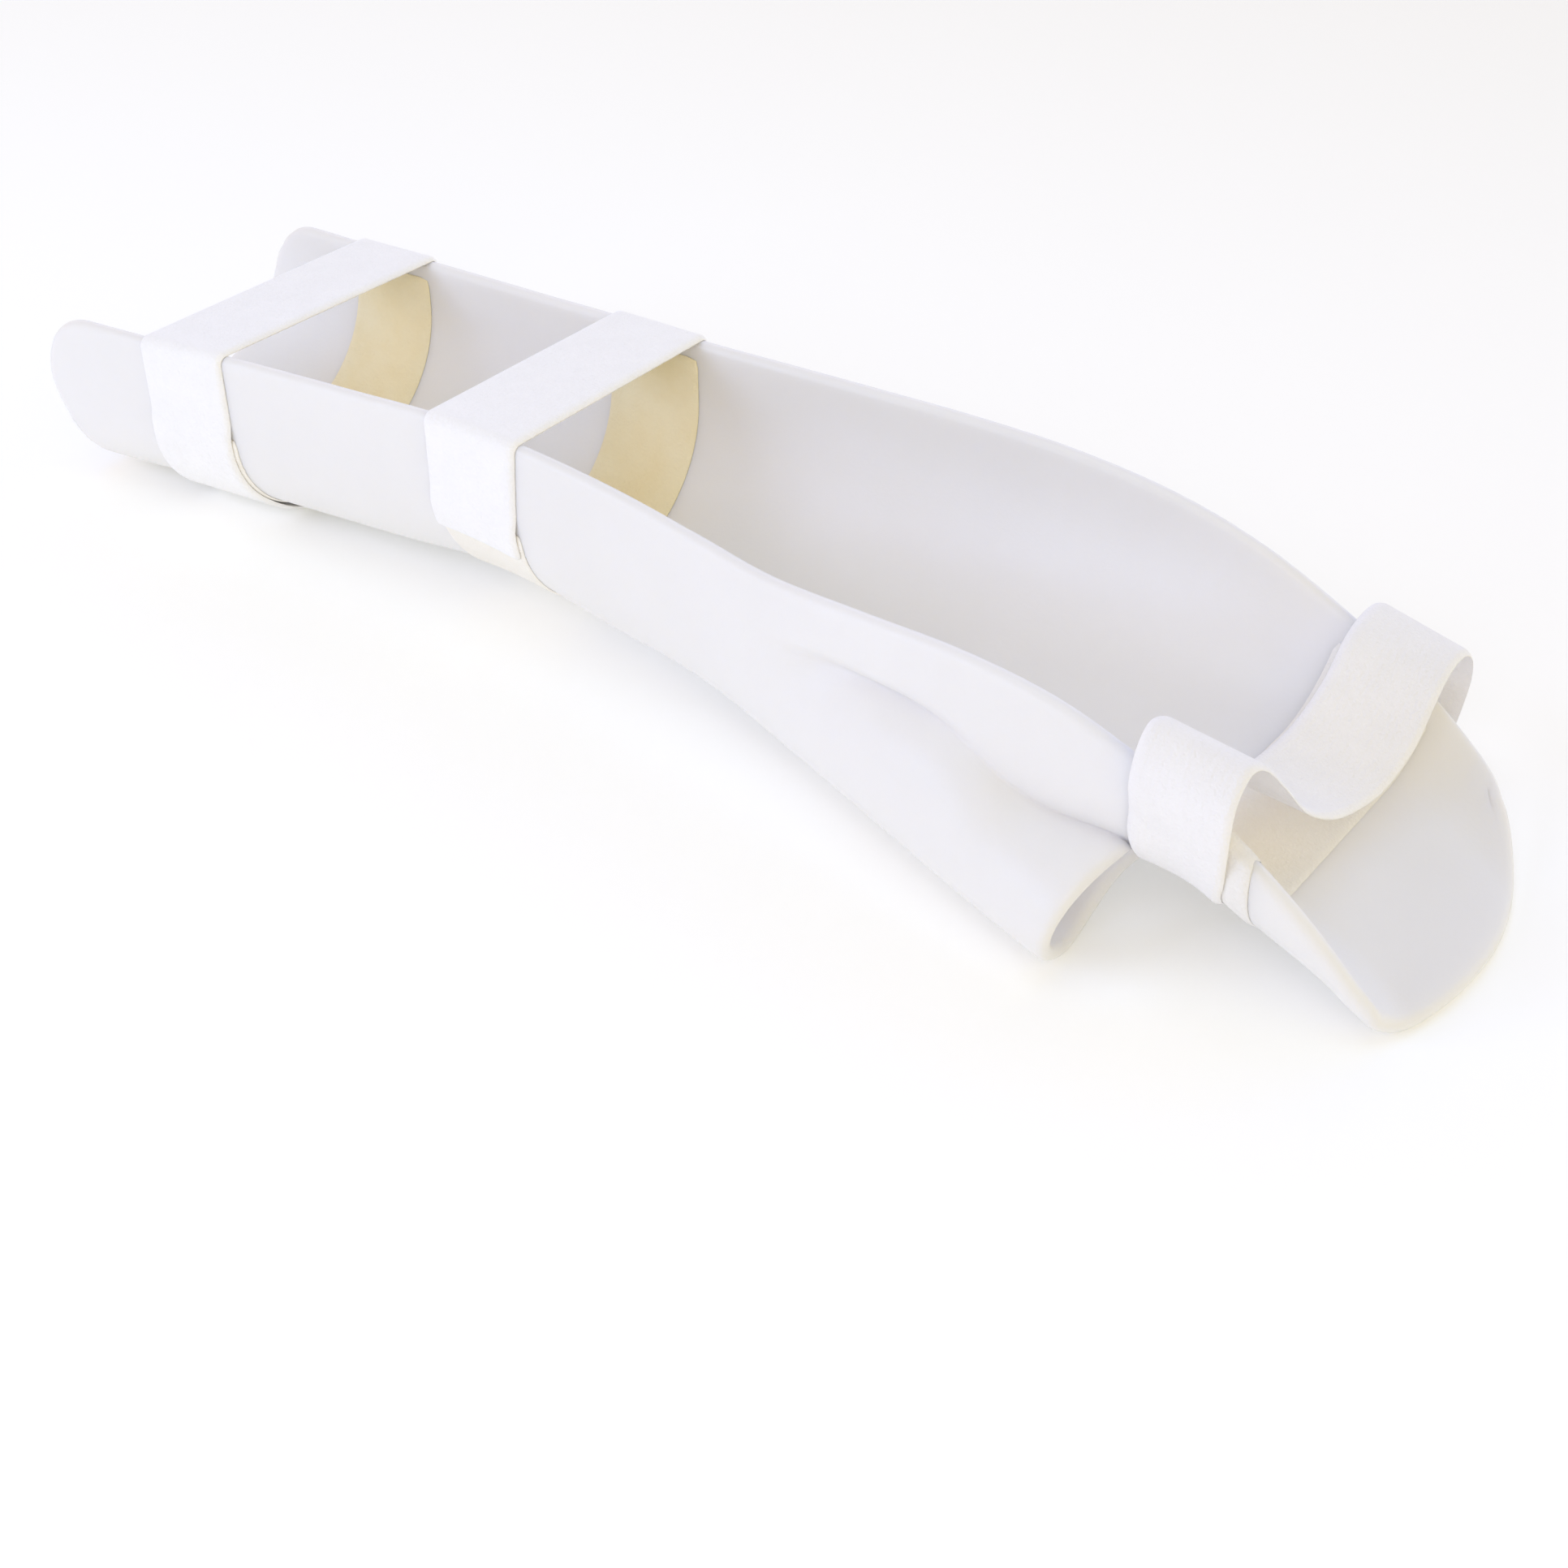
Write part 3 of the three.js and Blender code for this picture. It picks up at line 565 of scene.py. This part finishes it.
# Shares of the section: where the strap steps up before the tape's ends, where it hangs slack underneath, and
# where it leaves the walls
STEP_FROM, STEP_FULL = 0.045, 0.01
SLACK = (0.3, 0.42)
WALL_ENDS = (0.012, 0.988)
# Turns over the rims: first angle in degrees, points on each turn and on the pull between them, and the
# points by which the closed strap's start moves back, to the outside of the far wall
TURN_START, TURN_POINTS, PULL_POINTS = 8, 12, 46
SEAM_BACK = 70


def strap_distance(share):
    """Distance off the sheet's middle: on the bare sheet near the rims, stepped out over the hook strip, and
    a little slack underneath, where it lies on the table."""
    over = ease(STRIP_ENDS[0] - STEP_FROM, STRIP_ENDS[0] - STEP_FULL, share)
    back = ease(1 - STRIP_ENDS[1] - STEP_FROM, 1 - STRIP_ENDS[1] - STEP_FULL, 1 - share)
    slack = ease(*SLACK, share) * ease(*SLACK, 1 - share)
    return ON_SHEET + (ON_STRIP - ON_SHEET) * np.minimum(over, back) + (ON_FLOOR - ON_STRIP) * slack


def over_top(x, bend, span):
    """Quarter turn over each rim at the strap's distance, and the straight pull between them."""
    row = column(sections_at(x))
    far_angle = np.radians(np.linspace(TURN_START, 90, bend))[None, :]
    near_angle = np.radians(np.linspace(90, 180 - TURN_START, bend))[None, :]
    far_y = row["far_y"] + ON_SHEET * np.cos(far_angle)
    far_z = row["far_z"] + ON_SHEET * np.sin(far_angle)
    near_y = row["near_y"] + ON_SHEET * np.cos(near_angle)
    near_z = row["near_z"] + ON_SHEET * np.sin(near_angle)
    t = np.linspace(0, 1, span)[None, 1:-1]
    y = np.concatenate([far_y, far_y[:, -1:] + (near_y[:, :1] - far_y[:, -1:]) * t, near_y], axis=1)
    z = np.concatenate([far_z, far_z[:, -1:] + (near_z[:, :1] - far_z[:, -1:]) * t, near_z], axis=1)
    return np.stack([np.broadcast_to(row["x"], y.shape), y, z], axis=-1)


def loop_pile(name, white):
    """White loop pile: slightly mottled, with fine random loops over faint rows along the length."""
    material, nodes, links, shader = finish(name, 0.95, sheen=0.25)
    uneven = nodes.new("ShaderNodeGroup")
    uneven.node_tree = mottle
    uneven.inputs["Coarse"].default_value = 160
    uneven.inputs["Fine"].default_value = 1900
    shade = [0.975 * c for c in white]
    pile = blend_colours(nodes, links, uneven.outputs["Coarse Value"], 0.3, 0.7, shade, white)
    links.new(pile, shader.inputs["Base Color"])
    uv = nodes.new("ShaderNodeUVMap")
    uv.uv_map = "millimetres"
    rows = nodes.new("ShaderNodeTexWave")
    rows.inputs["Scale"].default_value = 0.22
    rows.inputs["Distortion"].default_value = 0.6
    links.new(uv.outputs["UV"], rows.inputs["Vector"])
    knit = raise_surface(nodes, links, rows.outputs["Fac"], 0.0002, 0.2)
    loops = raise_surface(nodes, links, uneven.outputs["Fine Value"], 0.0005, 0.5, knit)
    links.new(loops, shader.inputs["Normal"])
    return material


strap_white = loop_pile("white loop pile strap", (0.975, 0.97, 0.975))
strap_x = stations(PROXIMAL_STRAP_X, STRAP_WIDTH, 18)
share = np.linspace(*WALL_ENDS, 150)
points = np.concatenate([along_section(strap_x, share, strap_distance(share)),
                         over_top(strap_x, TURN_POINTS, PULL_POINTS)], axis=1)
points = np.roll(points, SEAM_BACK, axis=1)
proximal_strap, flat = cloth_strip("forearm_strap_proximal_cloth", points, STRAP, 1, closed=True)
proximal_strap.data.materials.append(strap_white)
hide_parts("forearm_strap_proximal")
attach(proximal_strap, "root")

strap_x = stations(DISTAL_STRAP_X, STRAP_WIDTH, 18)
far = np.linspace(DISTAL_STRAP_ENDS[1], WALL_ENDS[1], 44)
near = np.linspace(WALL_ENDS[0], DISTAL_STRAP_ENDS[0], 44)
points = np.concatenate([along_section(strap_x, far, strap_distance(far)),
                         over_top(strap_x, TURN_POINTS, PULL_POINTS),
                         along_section(strap_x, near, strap_distance(near))], axis=1)
distal_strap, flat = cloth_strip("forearm_strap_distal_cloth", points, STRAP, 1)
distal_strap.data.materials.append(strap_white)
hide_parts("forearm_strap_distal")
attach(distal_strap, "root")

# Finger strap
# A narrower soft strap of the same loop pile. It starts on the outside of the near wall, humps over the rim,
# sags into the pan where the fingers go, and bows out past the far wall with its end left free.
FINGER_WIDTH = 19.0
FINGER_STRAP_X, FINGER_STRAP_SKEW = 300.0, 5.0
FINGER_NEAR = np.array([0.172, 0.14, 0.10, 0.06])
FINGER_LEAN = -0.25
FINGER_CLEAR = 0.1
# Middle of the strap past the near wall: y, z, and how far z rises at the edge towards the fingertips
SPAN = np.array([
    [-43.0, 40.0, -0.2], [-41.2, 45.6, -0.8], [-37.0, 48.2, -1.2], [-31.6, 45.4, -1.0], [-25.8, 38.4, -0.3],
    [-19.0, 30.4, -0.6], [-10.0, 25.2, -1.3], [0.0, 22.9, -2.4], [9.0, 23.4, -3.4], [17.5, 27.2, -4.0],
    [25.0, 32.2, -3.6], [33.0, 33.8, -2.6], [41.0, 33.0, -2.2], [46.2, 29.2, -2.0], [47.8, 23.6, -1.5],
    [46.2, 18.0, -1.0], [43.6, 13.0, -0.5],
])
# Rows of SPAN over which the strap drifts towards the fingertips, and the extra bulge where it sags
SKEW_ROWS = (2, 11)
SAG_FORWARD, SAG_STARTS, SAG_ENDS = 2.5, (3, 6), (8.5, 12)

w = stations(-FINGER_WIDTH / 2, FINGER_WIDTH, 16)
lean = (FINGER_LEAN * (w + FINGER_WIDTH / 2) / FINGER_WIDTH)[:, None]
near = along_section(FINGER_STRAP_X + w, FINGER_NEAR, ON_STRIP + FINGER_CLEAR, lean)
k = np.arange(len(SPAN))
skew = (FINGER_STRAP_SKEW * ease(*SKEW_ROWS, k)
        + SAG_FORWARD * ease(*SAG_STARTS, k) * (1 - ease(*SAG_ENDS, k)))
span_x = FINGER_STRAP_X + skew[None, :] + w[:, None]
span_z = SPAN[None, :, 1] + SPAN[None, :, 2] * w[:, None] / (FINGER_WIDTH / 2)
span = np.stack([span_x, np.broadcast_to(SPAN[None, :, 0], span_x.shape), span_z], axis=-1)
bends = np.concatenate([near, span], axis=1).transpose(1, 0, 2)
u = np.linspace(0, len(bends) - 1, 12 * (len(bends) - 1) + 1)
points = cubic_through(bends.reshape(len(bends), -1), u).reshape(len(u), len(w), 3).transpose(1, 0, 2)
finger_strap, flat = cloth_strip("finger_strap_cloth", points, STRAP, -1)
finger_strap.data.materials.append(loop_pile("white finger strap pile", (0.93, 0.92, 0.925)))
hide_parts("finger_strap")
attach(finger_strap, "root")

# Floor, light and camera
# A white studio floor that glows a little, three soft lights on the near side and one overhead. The sky
# is warm towards both ends of the splint and cool behind it, and the camera sees plain white instead of it.
FLOOR_HALF = 1.5
floor_corners = [(x, y, 0) for x, y in ((-FLOOR_HALF, -FLOOR_HALF), (FLOOR_HALF, -FLOOR_HALF),
                                        (FLOOR_HALF, FLOOR_HALF), (-FLOOR_HALF, FLOOR_HALF))]
floor_mesh = bpy.data.meshes.new("floor")
floor_mesh.from_pydata(floor_corners, [], [(0, 1, 2, 3)])
floor = bpy.data.objects.new("floor", floor_mesh)
bpy.context.scene.collection.objects.link(floor)
floor_white, nodes, links, shader = finish("white studio floor", 0.9)
shader.inputs["Base Color"].default_value = (0.93, 0.93, 0.93, 1)
shader.inputs["Emission Color"].default_value = (1, 1, 0.88, 1)
shader.inputs["Emission Strength"].default_value = 0.165
floor.data.materials.append(floor_white)


def soft_light(name, place, aim, size, watts, colour):
    """Square area light at a place, turned towards a point."""
    lamp = bpy.data.lights.new(name, "AREA")
    lamp.size, lamp.energy, lamp.color = size, watts, colour
    light = bpy.data.objects.new(name, lamp)
    direction = np.array(aim) - np.array(place)
    light.location = place
    light.rotation_euler = (np.arctan2(np.hypot(direction[0], direction[1]), -direction[2]), 0,
                            np.arctan2(direction[1], direction[0]) - np.pi / 2)
    bpy.context.scene.collection.objects.link(light)


SPLINT_MIDDLE = (0, 0, 0.02)
soft_light("left window", (-0.9, -1.3, 0.8), SPLINT_MIDDLE, 1.0, 9.6, (0.50, 0.62, 1.0))
soft_light("right window", (0.6, -1.1, 0.9), SPLINT_MIDDLE, 1.0, 6.3, (0.79, 0.77, 0.97))
soft_light("low front", (-0.6, -1.6, 0.35), SPLINT_MIDDLE, 0.8, 2.1, (0.50, 0.79, 1.0))
soft_light("overhead", (-0.1, -0.3, 1.6), SPLINT_MIDDLE, 1.0, 5.8, (0.63, 0.77, 1.0))
SKY_GLOW = (
    ("X", -1, (1.02, 0.80, 0.46)),
    ("X", 1, (1.0, 0.83, 0.27)),
    ("Y", 1, (0.86, 1.02, 1.62)),
)
world = bpy.data.worlds.new("soft studio")
world.use_nodes = True
nodes, links = world.node_tree.nodes, world.node_tree.links
where = nodes.new("ShaderNodeTexCoord")
split = nodes.new("ShaderNodeSeparateXYZ")
links.new(where.outputs["Generated"], split.inputs["Vector"])
glow = None
for axis, sign, colour in SKY_GLOW:
    facing = nodes.new("ShaderNodeMath")
    facing.operation, facing.use_clamp = "MULTIPLY", True
    facing.inputs[1].default_value = sign
    links.new(split.outputs[axis], facing.inputs[0])
    lobe = nodes.new("ShaderNodeVectorMath")
    lobe.operation = "MULTIPLY_ADD"
    lobe.inputs[0].default_value = colour
    links.new(facing.outputs[0], lobe.inputs[1])
    if glow is not None:
        links.new(glow, lobe.inputs[2])
    glow = lobe.outputs[0]
seen = nodes.new("ShaderNodeMix")
seen.data_type = "RGBA"
seen.inputs["B"].default_value = (1, 1, 1, 1)
links.new(nodes.new("ShaderNodeLightPath").outputs["Is Camera Ray"], seen.inputs["Factor"])
links.new(glow, seen.inputs["A"])
links.new(seen.outputs["Result"], nodes["Background"].inputs["Color"])
bpy.context.scene.world = world
bpy.context.scene.view_settings.view_transform = "Standard"

camera_data = bpy.data.cameras.new("photo view")
camera_data.lens, camera_data.sensor_width = 50.183, 36
camera = bpy.data.objects.new("photo view", camera_data)
camera.location = (0.24915, -0.30134, 0.2498)
camera.rotation_euler = np.radians([53.727, 0, 37.298])
bpy.context.scene.collection.objects.link(camera)
bpy.context.scene.camera = camera
